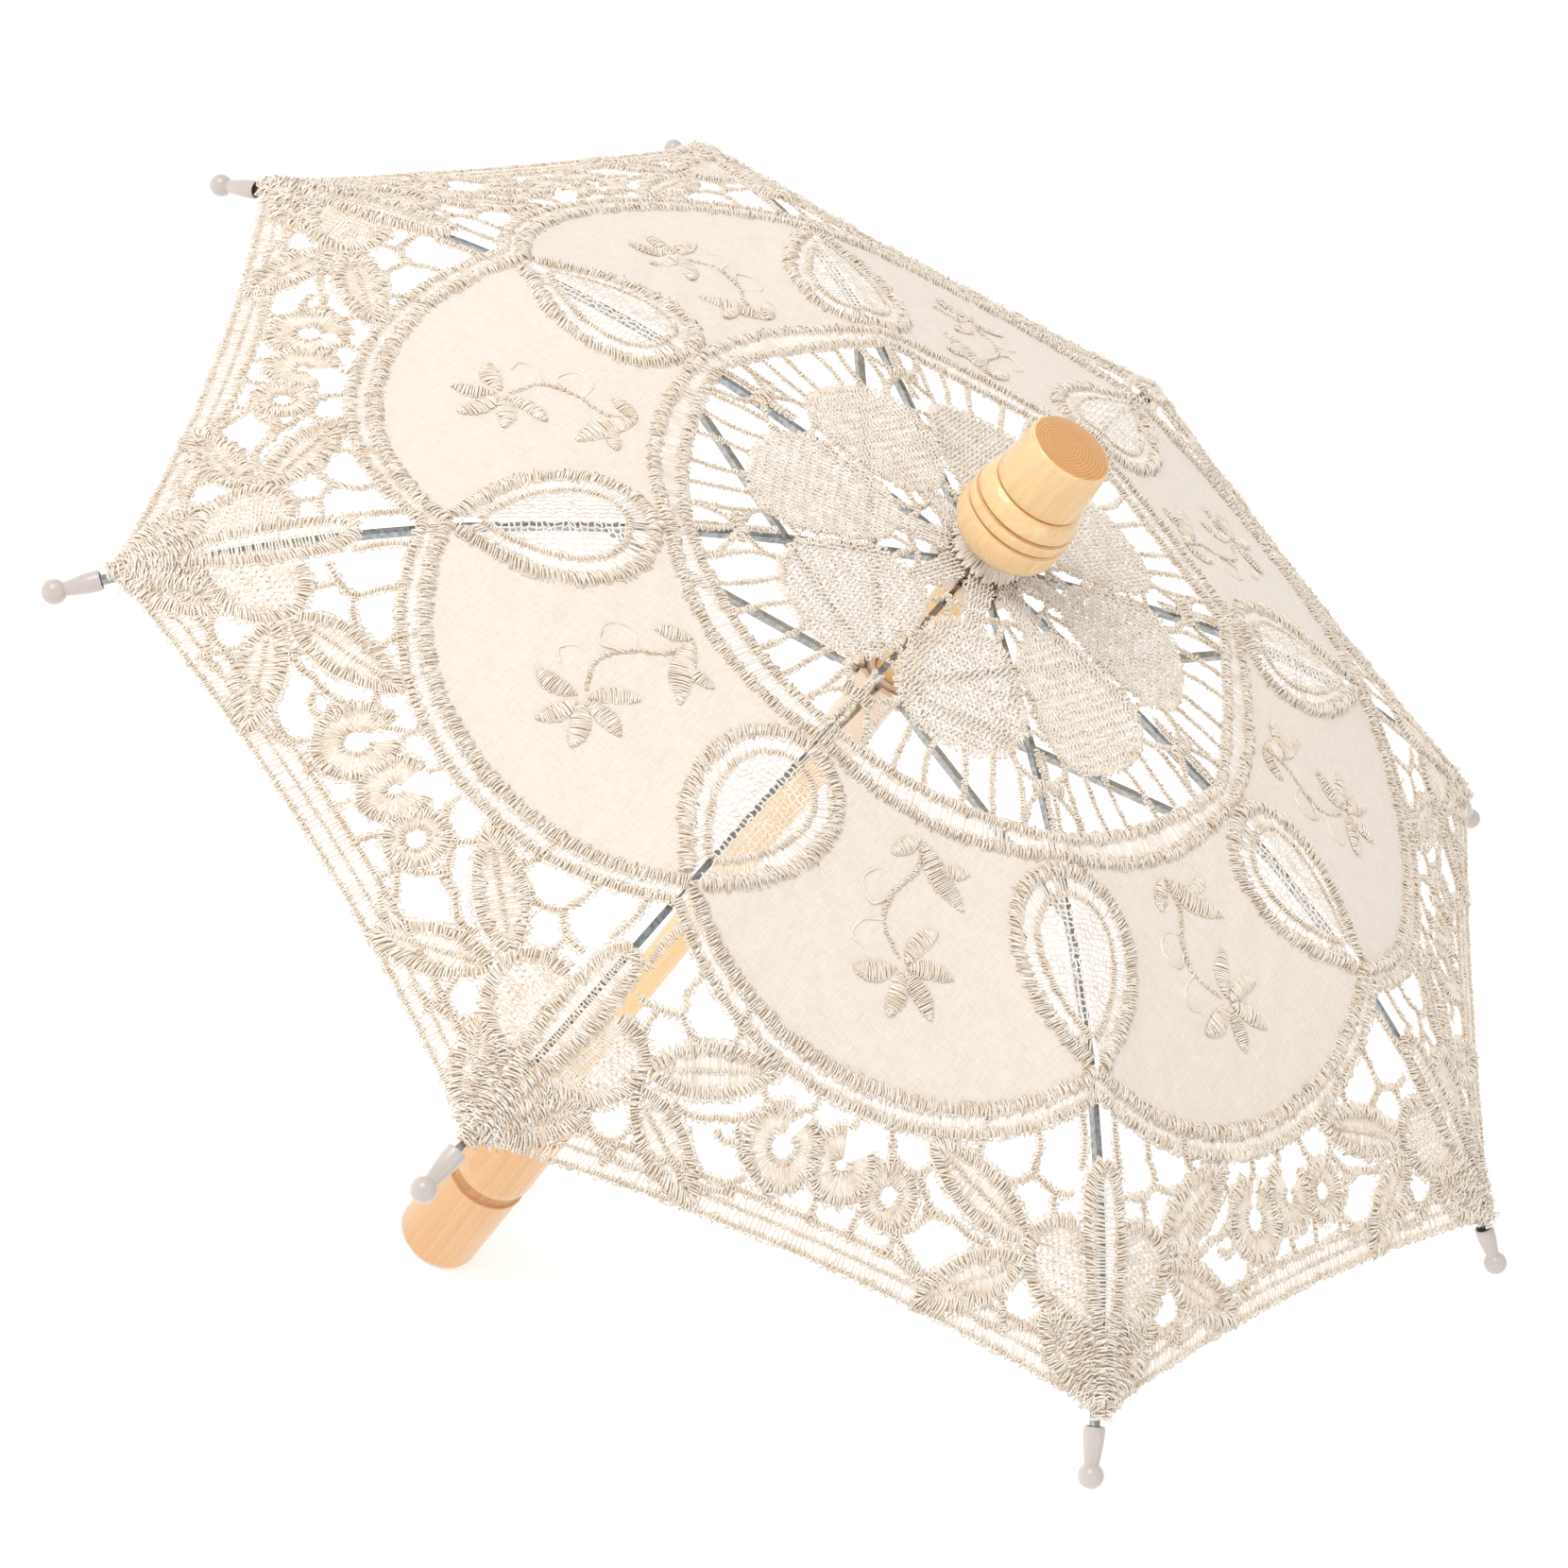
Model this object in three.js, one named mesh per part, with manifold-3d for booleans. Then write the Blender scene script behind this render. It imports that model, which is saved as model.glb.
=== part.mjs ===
// A small lace parasol, open, standing on the end of its grip with its shaft along +Z.
// Millimetres. The origin is the centre of the grip's flat end.
import * as THREE from 'three';
import { mergeVertices } from 'three/addons/utils/BufferGeometryUtils.js';
import Module from 'manifold-3d';

const wasm = await Module();
wasm.setup();

// ---------- driving dimensions ----------

const ribCount = 8;
const sector = (2 * Math.PI) / ribCount;
const clearance = 0.3;

// heights above the grip's end
const tipPlane = 226; // the height that the canopy's own heights are counted from
const gripLength = 76;
const finialBottom = tipPlane + 64;
const finialHeight = 30.2;

const shaftRadius = 4.2;
const socketRadius = shaftRadius + clearance;
const socketDepth = 14;

// canopy: its height falls from the centre as slope * r + droop * r^3
const canopy = {
  rise: 58.2,
  slope: 0.06,
  droop: 6.4e-6,
  innerRadius: 9.6,
  cornerRadius: 181.6, // where the hem meets a rib
  hemMidRadius: 164, // half-way between two ribs, where the hem curves in
  sag: 0.15, // how far the middle of a panel leaves the ribs' curve for a straight line
  thickness: 0.8,
};

const rib = {
  pivotRadius: 8.5,
  below: 2.35, // its centre line under the canopy's
  endRadius: 186,
  width: 1.4,
  height: 1.6,
  wall: 0.25,
  channelStart: 14.5,
  tangEnd: 19,
  tangWidth: 1.0,
  tangHalfHeight: 0.8,
  jointRadius: 88.4, // where the stretcher is riveted
  jointDrop: 0.25,
};

const wire = { radius: 0.45, eye: 0.78, boss: 1.33 };
const rivet = { radius: 0.35, hole: 0.5, headRadius: 0.8, headHeight: 0.35 };

const crown = { radius: 10.5, above: 0.7, below: 3.4, hubRadius: 7.2, grooveRadius: 9.7, slotWidth: 1.7 };

const runner = {
  pivotRadius: 7.8,
  pivotHeight: tipPlane + 17,
  tubeRadius: 5.8,
  tubeLength: 25,
  flangeRadius: 8.8,
  above: 1.6,
  below: 2.6,
  hubRadius: 6.0,
  grooveRadius: 7.3,
  slotWidth: 1.5,
  wireCircle: 6.65,
};

const stretcher = {
  width: 1.8,
  height: 1.5,
  tangWidth: 0.8,
  tangHalfHeight: 0.75,
  outerTang: 6.5,
  innerTang: 9,
};

const tip = { anchorRadius: 184, mouth: -2.2, ballAt: 7.36, ballRadius: 2.6, socket: 2.05, neck: 1.45, bore: 1.75 };

// ---------- colours and finishes ----------

const finish = (colour, roughness, metalness) =>
  new THREE.MeshStandardMaterial({ color: colour, roughness, metalness, side: THREE.DoubleSide });

const wood = finish(0xe8b878, 0.35, 0);
const steel = finish(0x8e9298, 0.3, 1);
const paleSteel = finish(0xaaa69e, 0.4, 1);
const creamPlastic = finish(0xf2dcc4, 0.4, 0);
const greyPlastic = finish(0xd6ccc2, 0.35, 0);
const lace = finish(0xf1e6d6, 0.9, 0);

// ---------- solids ----------

function solidOf(geometry) {
  geometry.deleteAttribute('normal');
  geometry.deleteAttribute('uv');
  const merged = mergeVertices(geometry, 1e-5);
  return new wasm.Manifold(
    new wasm.Mesh({
      numProp: 3,
      vertProperties: new Float32Array(merged.attributes.position.array),
      triVerts: new Uint32Array(merged.index.array),
    }),
  );
}

function geometryOf(solid) {
  const mesh = solid.getMesh();
  const geometry = new THREE.BufferGeometry();
  geometry.setAttribute('position', new THREE.BufferAttribute(new Float32Array(mesh.vertProperties), 3));
  geometry.setIndex(new THREE.BufferAttribute(new Uint32Array(mesh.triVerts), 1));
  return geometry;
}

// A turned piece: profile points are [radius, height], from the bottom up.
function turned(profile, segments = 32) {
  const points = profile.map(([r, z]) => new THREE.Vector2(r, z));
  const geometry = new THREE.LatheGeometry(points, segments);
  geometry.rotateX(Math.PI / 2);
  return geometry;
}

function cylinder(radius, low, high, segments = 32) {
  return turned([[0, low], [radius, low], [radius, high], [0, high]], segments);
}

function box(lowX, highX, widthY, lowZ, highZ) {
  const geometry = new THREE.BoxGeometry(highX - lowX, widthY, highZ - lowZ);
  geometry.translate((lowX + highX) / 2, 0, (lowZ + highZ) / 2);
  return geometry;
}

function ringWire(circleRadius, height) {
  const geometry = new THREE.TorusGeometry(circleRadius, wire.radius, 8, 48);
  geometry.translate(0, 0, height);
  return geometry;
}

// A flat outline in the X-Z plane, made `width` thick and centred on Y = 0.
function plate(shape, width) {
  const geometry = new THREE.ExtrudeGeometry(shape, { depth: width, bevelEnabled: false, curveSegments: 8 });
  geometry.rotateX(Math.PI / 2);
  geometry.translate(0, width / 2, 0);
  return geometry;
}

// A bar with a round start at the origin, along +X, with an eye there if eyeRadius is above 0.
function tangShape(length, halfHeight, eyeRadius) {
  const shape = new THREE.Shape();
  shape.moveTo(length, -halfHeight);
  shape.lineTo(length, halfHeight);
  shape.lineTo(0, halfHeight);
  shape.absarc(0, 0, halfHeight, Math.PI / 2, (3 * Math.PI) / 2, false);
  if (eyeRadius > 0) {
    const eye = new THREE.Path();
    eye.absarc(0, 0, eyeRadius, 0, 2 * Math.PI, true);
    shape.holes.push(eye);
  }
  return shape;
}

// Turns a piece lying along +X so that it points from one [r, z] place to another.
function pointed(geometry, from, to) {
  geometry.rotateY(-Math.atan2(to[1] - from[1], to[0] - from[0]));
  geometry.translate(from[0], 0, from[1]);
  return geometry;
}

// ---------- the canopy's and ribs' curves, in the plane of a rib: r outwards, z up ----------

function canopyHeight(r) {
  return tipPlane + canopy.rise - canopy.slope * r - canopy.droop * r ** 3;
}

const ribHeight = (r) => canopyHeight(r) - rib.below;
const steepness = (r) => -canopy.slope - 3 * canopy.droop * r ** 2;

const crownPivot = [rib.pivotRadius, ribHeight(rib.pivotRadius)];
const ribJoint = [rib.jointRadius, ribHeight(rib.jointRadius) - rib.jointDrop];
const runnerPivot = [runner.pivotRadius, runner.pivotHeight];

// ---------- turned wood ----------

function shaftGeometry() {
  const low = gripLength - socketDepth + clearance;
  const high = finialBottom + socketDepth - clearance;
  return cylinder(shaftRadius, low, high);
}

function gripGeometry() {
  const r = 11.2;
  const groove = 10.3;
  return turned([
    [0, 0],
    [r - 0.9, 0],
    [r - 0.25, 0.3],
    [r, 1],
    [r, 31],
    [groove, 31.5],
    [groove, 34.7],
    [r, 35.2],
    [r + 0.2, 38],
    [r, 41],
    [r, 60.4],
    [groove, 60.9],
    [groove, 63.3],
    [r, 63.8],
    [r, 67],
    [r - 0.6, 70],
    [r - 2.2, 73],
    [r - 4.2, 75.2],
    [r - 5.6, gripLength],
    [socketRadius, gripLength],
    [socketRadius, gripLength - socketDepth],
    [0, gripLength - socketDepth],
  ], 36);
}

function finialGeometry() {
  const at = (r, z) => [r, finialBottom + z];
  return turned([
    at(0, socketDepth),
    at(socketRadius, socketDepth),
    at(socketRadius, 0),
    at(9.2, 0),
    at(11.2, 1.1),
    at(12.3, 2.9),
    at(12.7, 5.2),
    at(12.6, 7.7),
    at(11.9, 8.0),
    at(11.9, 8.5),
    at(12.5, 8.8),
    at(12.4, 11.1),
    at(11.6, 11.4),
    at(11.6, 11.9),
    at(12.2, 12.2),
    at(11.9, 13.8),
    at(11.2, 15.4),
    at(10.5, 16.2),
    at(9.7, 16.4),
    at(9.7, 16.8),
    at(10.1, 17.0),
    at(9.8, 21),
    at(8.95, 28.8),
    at(8.7, 29.6),
    at(8.1, 30.0),
    at(4, 30.15),
    at(0, finialHeight),
  ], 36);
}

// ---------- plastic hubs ----------

// Cuts one slot for each rib into a hub, from innerRadius outwards.
function slotted(solid, innerRadius, outerRadius, width, low, high) {
  let cut = solid;
  for (let k = 0; k < ribCount; k++) {
    const slot = box(innerRadius, outerRadius, width, low, high);
    slot.rotateZ(k * sector);
    cut = cut.subtract(solidOf(slot));
  }
  return cut;
}

function crownGeometry() {
  const high = crownPivot[1] + crown.above;
  const low = crownPivot[1] - crown.below;
  const groove = crownPivot[1] - wire.radius - clearance;
  const hub = turned([
    [socketRadius, low],
    [crown.radius - 0.6, low],
    [crown.radius, low + 0.6],
    [crown.radius, high],
    [crown.grooveRadius, high],
    [crown.grooveRadius, groove],
    [crown.hubRadius, groove],
    [crown.hubRadius, high],
    [socketRadius, high],
    [socketRadius, low],
  ]);
  const cut = slotted(solidOf(hub), 6.7, crown.radius + 1, crown.slotWidth, low - 1, high + 1);
  return geometryOf(cut);
}

function runnerGeometry() {
  const high = runner.pivotHeight + runner.above;
  const low = runner.pivotHeight - runner.below;
  const groove = runner.pivotHeight - wire.radius - clearance;
  const end = high - runner.tubeLength;
  const hub = turned([
    [socketRadius, end],
    [runner.tubeRadius - 0.2, end],
    [runner.tubeRadius, end + 0.4],
    [runner.tubeRadius, low - 2],
    [runner.hubRadius, low],
    [runner.flangeRadius - 0.4, low],
    [runner.flangeRadius, low + 0.4],
    [runner.flangeRadius, high],
    [runner.grooveRadius, high],
    [runner.grooveRadius, groove],
    [runner.hubRadius, groove],
    [runner.hubRadius, high],
    [socketRadius, high],
    [socketRadius, end],
  ]);
  const cut = slotted(solidOf(hub), runner.hubRadius - 0.1, runner.flangeRadius + 1, runner.slotWidth, low - 0.01, high + 1);
  return geometryOf(cut);
}

function collarGeometry() {
  const inner = shaftRadius + clearance;
  const low = crownPivot[1] + wire.boss + clearance;
  const high = finialBottom - clearance;
  const outer = canopy.innerRadius - clearance;
  return turned([
    [inner, low],
    [outer - 0.6, low],
    [outer, low + 1.2],
    [outer - 0.8, high - 1.5],
    [outer - 1.6, high],
    [inner, high],
    [inner, low],
  ]);
}

// ---------- ribs, rivets, tips and stretchers, built in the X-Z plane ----------

// A channel, open downwards, swept along the rib's curve.
function ribChannel() {
  const half = rib.width / 2;
  const top = rib.height / 2;
  const shape = new THREE.Shape();
  shape.moveTo(-half, -top);
  shape.lineTo(-half + rib.wall, -top);
  shape.lineTo(-half + rib.wall, top - rib.wall);
  shape.lineTo(half - rib.wall, top - rib.wall);
  shape.lineTo(half - rib.wall, -top);
  shape.lineTo(half, -top);
  shape.lineTo(half, top);
  shape.lineTo(-half, top);
  const geometry = new THREE.ExtrudeGeometry(shape, { depth: 1, steps: 20, bevelEnabled: false });
  const position = geometry.attributes.position;
  for (let i = 0; i < position.count; i++) {
    const r = rib.channelStart + (rib.endRadius - rib.channelStart) * position.getZ(i);
    const lean = Math.atan(steepness(r));
    const up = position.getY(i);
    position.setXYZ(i, r - up * Math.sin(lean), position.getX(i), ribHeight(r) + up * Math.cos(lean));
  }
  return geometry;
}

function ribGeometry() {
  const tangTip = [rib.tangEnd, ribHeight(rib.tangEnd) + rib.height / 2 - rib.tangHalfHeight];
  const length = Math.hypot(tangTip[0] - crownPivot[0], tangTip[1] - crownPivot[1]);
  const tang = plate(tangShape(length, rib.tangHalfHeight, 0), rib.tangWidth);
  pointed(tang, crownPivot, tangTip);
  const eye = plate(roundShape(wire.eye), rib.tangWidth + 1);
  eye.translate(crownPivot[0], 0, crownPivot[1]);
  const boss = plate(roundShape(wire.boss), rib.tangWidth);
  boss.translate(crownPivot[0], 0, crownPivot[1]);
  const hole = plate(roundShape(rivet.hole), rib.width + 1);
  hole.translate(ribJoint[0], 0, ribJoint[1]);
  const solid = solidOf(ribChannel())
    .add(solidOf(tang))
    .add(solidOf(boss))
    .subtract(solidOf(eye))
    .subtract(solidOf(hole));
  return geometryOf(solid);
}

function roundShape(radius) {
  const shape = new THREE.Shape();
  shape.absarc(0, 0, radius, 0, 2 * Math.PI, false);
  return shape;
}

function rivetGeometry() {
  const reach = rib.width / 2 + 0.1;
  const end = reach + rivet.headHeight;
  const geometry = turned([
    [0, -end],
    [rivet.headRadius * 0.6, -end],
    [rivet.headRadius, -reach - 0.1],
    [rivet.headRadius, -reach],
    [rivet.radius, -reach],
    [rivet.radius, reach],
    [rivet.headRadius, reach],
    [rivet.headRadius, reach + 0.1],
    [rivet.headRadius * 0.6, end],
    [0, end],
  ], 12);
  geometry.rotateX(Math.PI / 2);
  geometry.translate(ribJoint[0], 0, ribJoint[1]);
  return geometry;
}

function tipGeometry() {
  const ballStart = tip.ballAt - Math.sqrt(tip.ballRadius ** 2 - tip.neck ** 2);
  const profile = [
    [0, 3.2],
    [tip.bore, 3.2],
    [tip.bore, tip.mouth],
    [tip.socket, tip.mouth],
    [tip.socket + 0.1, tip.mouth + 1],
    [tip.socket - 0.1, tip.mouth + 4],
    [tip.neck + 0.1, ballStart - 0.4],
    [tip.neck, ballStart],
  ];
  const steps = 8;
  const startAngle = Math.asin(tip.neck / tip.ballRadius);
  for (let i = 1; i <= steps; i++) {
    const angle = startAngle + ((Math.PI - startAngle) * i) / steps;
    profile.push([
      i === steps ? 0 : tip.ballRadius * Math.sin(angle),
      tip.ballAt - tip.ballRadius * Math.cos(angle),
    ]);
  }
  const geometry = turned(profile, 16);
  // the lathe's axis is +Z: it is laid along the rib's slope
  geometry.rotateY(Math.PI / 2 - Math.atan(steepness(tip.anchorRadius)));
  geometry.translate(tip.anchorRadius, 0, ribHeight(tip.anchorRadius));
  return geometry;
}

function stretcherGeometry() {
  const length = Math.hypot(ribJoint[0] - runnerPivot[0], ribJoint[1] - runnerPivot[1]);
  const half = stretcher.tangHalfHeight;
  const outer = plate(tangShape(stretcher.outerTang + 2, half, rivet.hole), stretcher.tangWidth);
  const inner = plate(tangShape(stretcher.innerTang + 2, half, 0), stretcher.tangWidth);
  const start = length - stretcher.innerTang;
  inner.rotateY(Math.PI);
  inner.translate(length - half, 0, 0);
  const bar = box(stretcher.outerTang, start, stretcher.width, -stretcher.height / 2, stretcher.height / 2);
  const solid = solidOf(bar).add(solidOf(outer)).add(solidOf(inner));
  return pointed(geometryOf(solid), ribJoint, runnerPivot);
}

// ---------- canopy ----------

// A place on the canopy over the +Y half of a rib's sector: along runs from the centre to the hem,
// across from the rib to the middle of the panel.
function canopyPlace(along, across) {
  const half = sector / 2;
  const ribRadius = canopy.innerRadius + (canopy.cornerRadius - canopy.innerRadius) * along;
  const midRadius = canopy.innerRadius + (canopy.hemMidRadius - canopy.innerRadius) * along;
  const innerHeight = canopyHeight(canopy.innerRadius);
  const hemHeight = canopyHeight(canopy.hemMidRadius / Math.cos(half));
  const straight = innerHeight + (hemHeight - innerHeight) * along;
  const followed = canopyHeight(midRadius / Math.cos(half));
  const ribPlace = new THREE.Vector3(ribRadius, 0, canopyHeight(ribRadius));
  const midPlace = new THREE.Vector3(
    midRadius * Math.cos(half),
    midRadius * Math.sin(half),
    followed + (straight - followed) * canopy.sag,
  );
  return ribPlace.lerp(midPlace, across);
}

// Half a panel, on the +Y side of its rib, kept clear of the rib's plane and of the panel's middle.
function halfPanelGeometry() {
  const half = sector / 2;
  const gap = 0.2;
  const geometry = new THREE.BoxGeometry(1, 1, 1, 13, 4, 1);
  const position = geometry.attributes.position;
  for (let i = 0; i < position.count; i++) {
    const along = position.getX(i) + 0.5;
    const across = position.getY(i) + 0.5;
    const place = canopyPlace(along, across);
    place.x += gap * across * Math.sin(half);
    place.y += gap * (1 - across) - gap * across * Math.cos(half);
    place.z += position.getZ(i) * canopy.thickness;
    position.setXYZ(i, place.x, place.y, place.z);
  }
  return geometry;
}

function mirrored(geometry) {
  const copy = geometry.clone();
  copy.scale(1, -1, 1);
  const index = copy.index.array;
  for (let i = 0; i < index.length; i += 3) {
    [index[i], index[i + 1]] = [index[i + 1], index[i]];
  }
  return copy;
}

// ---------- the parasol ----------

const parasol = new THREE.Group();

function addMesh(parent, name, geometry, material) {
  const mesh = new THREE.Mesh(geometry, material);
  mesh.name = name;
  parent.add(mesh);
}

addMesh(parasol, 'shaft', shaftGeometry(), wood);
addMesh(parasol, 'grip', gripGeometry(), wood);
addMesh(parasol, 'finial', finialGeometry(), wood);
addMesh(parasol, 'crown', crownGeometry(), creamPlastic);
addMesh(parasol, 'crown_wire', ringWire(rib.pivotRadius, crownPivot[1]), steel);
addMesh(parasol, 'canopy_collar', collarGeometry(), lace);
addMesh(parasol, 'runner', runnerGeometry(), creamPlastic);
addMesh(parasol, 'runner_wire', ringWire(runner.wireCircle, runner.pivotHeight), steel);

const ribShape = ribGeometry();
const rivetShape = rivetGeometry();
const tipShape = tipGeometry();
const stretcherShape = stretcherGeometry();
const leftPanel = halfPanelGeometry();
const rightPanel = mirrored(leftPanel);

for (let k = 0; k < ribCount; k++) {
  const arm = new THREE.Group();
  arm.rotation.z = k * sector;
  addMesh(arm, `rib_${k + 1}`, ribShape, steel);
  addMesh(arm, `rivet_${k + 1}`, rivetShape, steel);
  addMesh(arm, `tip_${k + 1}`, tipShape, greyPlastic);
  addMesh(arm, `stretcher_${k + 1}`, stretcherShape, paleSteel);
  addMesh(arm, `canopy_${k + 1}_left`, leftPanel, lace);
  addMesh(arm, `canopy_${k + 1}_right`, rightPanel, lace);
  parasol.add(arm);
}

export default parasol;
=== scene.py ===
"""Looks of the lace parasol: lace, cotton, wood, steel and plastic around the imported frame."""
import math

import bpy
import numpy as np
from mathutils import Matrix, Vector


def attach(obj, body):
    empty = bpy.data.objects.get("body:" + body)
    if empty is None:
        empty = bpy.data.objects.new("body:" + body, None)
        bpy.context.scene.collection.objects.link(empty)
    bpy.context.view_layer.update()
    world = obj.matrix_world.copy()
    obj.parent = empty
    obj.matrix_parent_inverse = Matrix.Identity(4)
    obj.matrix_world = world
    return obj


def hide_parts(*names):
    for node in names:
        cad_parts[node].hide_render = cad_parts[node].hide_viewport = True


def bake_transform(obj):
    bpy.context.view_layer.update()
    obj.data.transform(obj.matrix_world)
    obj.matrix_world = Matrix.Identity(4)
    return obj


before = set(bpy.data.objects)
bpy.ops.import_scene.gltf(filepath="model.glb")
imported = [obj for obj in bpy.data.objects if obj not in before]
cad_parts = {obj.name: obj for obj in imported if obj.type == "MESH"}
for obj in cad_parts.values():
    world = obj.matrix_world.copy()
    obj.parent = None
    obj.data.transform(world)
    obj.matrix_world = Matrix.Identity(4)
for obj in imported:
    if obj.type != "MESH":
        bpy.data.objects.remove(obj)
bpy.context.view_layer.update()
MM = 0.001
rng = np.random.default_rng(7)

# ---------- driving dimensions, in millimetres ----------

RIBS = 8
SECTOR = 2 * math.pi / RIBS
HALF = SECTOR / 2
TIP_PLANE = 226.0
RISE, SLOPE, DROOP = 58.2, 0.06, 6.4e-6
INNER_R = 9.6
CORNER_R = 181.6
HEM_MID = 164.0
SAG = 0.15
FINIAL_BOTTOM = TIP_PLANE + 64

# ---------- the canopy's surface ----------
# Plan coordinates belong to one panel: x runs out along its middle line, y across it.
# Rib n is at -HALF and rib n + 1 at +HALF.


def rib_height(r):
    return TIP_PLANE + RISE - SLOPE * r - DROOP * r**3


def surface_height(x, y):
    across = 1 - np.abs(y) / (np.maximum(x, 1e-3) * math.tan(HALF))
    across = np.clip(across, 0, 1)
    followed = rib_height(x / math.cos(HALF))
    share = np.clip((x - INNER_R) / (HEM_MID - INNER_R), 0, 1.1)
    top = rib_height(INNER_R)
    low = rib_height(HEM_MID / math.cos(HALF))
    straight = top + (low - top) * share
    return followed + SAG * (straight - followed) * across * (2 - across)


def on_surface(x, y, lift):
    """Plan places, each raised by lift along the surface's normal, as points in space."""
    e = 0.05
    here = surface_height(x, y)
    dx = (surface_height(x + e, y) - surface_height(x - e, y)) / (2 * e)
    inward = np.where(y > 0, -e, e)
    dy = (surface_height(x, y + inward) - here) / inward
    length = np.sqrt(1 + dx**2 + dy**2)
    return np.stack([x - lift * dx / length, y - lift * dy / length, here + lift / length], axis=-1)


def turn(points, angle):
    c, s = math.cos(angle), math.sin(angle)
    points = np.asarray(points, float)
    x = points[..., 0] * c - points[..., 1] * s
    y = points[..., 0] * s + points[..., 1] * c
    return np.stack([x, y], axis=-1)


def from_rib(points):
    """Places given along and beside rib n, as plan coordinates of its panel."""
    return turn(points, -HALF)


def flipped(points):
    return np.asarray(points, float) * (1, -1)


# ---------- curves ----------


def smooth(points, step=0.5, closed=False):
    """A round curve through the points, as evenly spaced places."""
    p = np.asarray(points, float)
    if closed:
        p = np.vstack([p[-1], p, p[0], p[1]])
    else:
        p = np.vstack([2 * p[0] - p[1], p, 2 * p[-1] - p[-2]])
    t = np.linspace(0, 1, 17)[:-1, None]
    parts = []
    for a, b, c, d in zip(p[:-3], p[1:-2], p[2:-1], p[3:]):
        square = (2 * a - 5 * b + 4 * c - d) * t**2
        cube = (3 * b - a - 3 * c + d) * t**3
        parts.append(0.5 * (2 * b + (c - a) * t + square + cube))
    parts.append(p[-2][None])
    return spaced(np.vstack(parts), step)


def spaced(path, step):
    path = np.asarray(path, float)
    lengths = np.linalg.norm(np.diff(path, axis=0), axis=1)
    path = path[np.append(True, lengths > 1e-6)]
    along = np.append(0, np.cumsum(lengths[lengths > 1e-6]))
    count = max(2, int(round(along[-1] / step)) + 1)
    at = np.linspace(0, along[-1], count)
    return np.stack([np.interp(at, along, path[:, 0]), np.interp(at, along, path[:, 1])], axis=-1)


def sideways(path):
    """Unit tangents and left-hand normals along a path."""
    t = np.gradient(path, axis=0)
    t /= np.maximum(np.linalg.norm(t, axis=1, keepdims=True), 1e-9)
    return t, np.stack([-t[:, 1], t[:, 0]], axis=-1)


def offset(path, by):
    return path + sideways(path)[1] * by


# ---------- threads and cords, gathered into one mesh for each half of a panel ----------

# the first kind, the flat strip under the stitches, is coloured darker: painted shade between the stitches
SHADED_CORE, STITCH, PALE = 0, 1, 2
THREAD_SIDES = 4


class HalfPanel:
    def __init__(self):
        self.points = []
        self.faces = []
        self.kinds = []
        self.count = 0

    def add(self, points, faces, kind):
        self.points.append(points)
        self.faces.append(faces + self.count)
        self.kinds.append(np.full(len(faces), kind))
        self.count += len(points)


def tube_mesh(path, across, lift, wide, high, sides):
    """A closed tube, wide by high at each place of a path: plan points with lifts, and faces."""
    n = len(path)
    angle = (np.arange(sides) + 0.5) * 2 * math.pi / sides
    side = np.cos(angle)[None, :] * wide[:, None] / 2
    up = np.sin(angle)[None, :] * high[:, None] / 2 + lift[:, None]
    x = path[:, 0, None] + across[:, 0, None] * side
    y = path[:, 1, None] + across[:, 1, None] * side
    points = np.stack([x.ravel(), y.ravel(), up.ravel()], axis=-1)
    i = np.arange(n - 1)[:, None] * sides
    j = np.arange(sides)[None, :]
    k = (j + 1) % sides
    walls = np.stack([i + j, i + k, i + sides + k, i + sides + j], axis=-1).reshape(-1, 4)
    # the ends have places of their own, so that they shade flat
    first, last = n * sides, (n + 1) * sides
    fan = np.arange(1, sides - 1)
    first_corner = np.full(sides - 2, first)
    last_corner = np.full(sides - 2, last)
    first_cap = np.stack([first + fan + 1, first + fan, first_corner, first_corner], axis=-1)
    last_cap = np.stack([last + fan, last + fan + 1, last_corner, last_corner], axis=-1)
    points = np.vstack([points, points[:sides], points[-sides:]])
    return points, np.vstack([walls, first_cap, last_cap])


def lay(halves, path, lift, wide, high, kind):
    """Lays a tube along a path, cut where it crosses the panel's middle line."""
    rows = np.column_stack([path, lift, wide, high])
    side = (path[:, 1] > 0).astype(int)
    for part in np.split(np.arange(len(rows)), np.nonzero(np.diff(side))[0] + 1):
        run = rows[part]
        if part[0] > 0:
            run = np.vstack([cut_row(rows[part[0] - 1], rows[part[0]]), run])
        if part[-1] < len(rows) - 1:
            run = np.vstack([run, cut_row(rows[part[-1]], rows[part[-1] + 1])])
        if len(run) > 1:
            across = sideways(run[:, :2])[1]
            mesh = tube_mesh(run[:, :2], across, run[:, 2], run[:, 3], run[:, 4], THREAD_SIDES)
            halves[side[part[0]]].add(*mesh, kind)


def cut_row(a, b):
    share = a[1] / (a[1] - b[1])
    return a + (b - a) * share


def length_of(path):
    return np.linalg.norm(np.diff(path, axis=0), axis=1).sum()


def at_share(path, share):
    """Places at shares 0 to 1 of a path's length."""
    along = np.append(0, np.cumsum(np.linalg.norm(np.diff(path, axis=0), axis=1)))
    along /= max(along[-1], 1e-9)
    share = np.clip(share, 0, 1)
    return np.stack([np.interp(share, along, path[:, 0]), np.interp(share, along, path[:, 1])], axis=-1)


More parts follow.
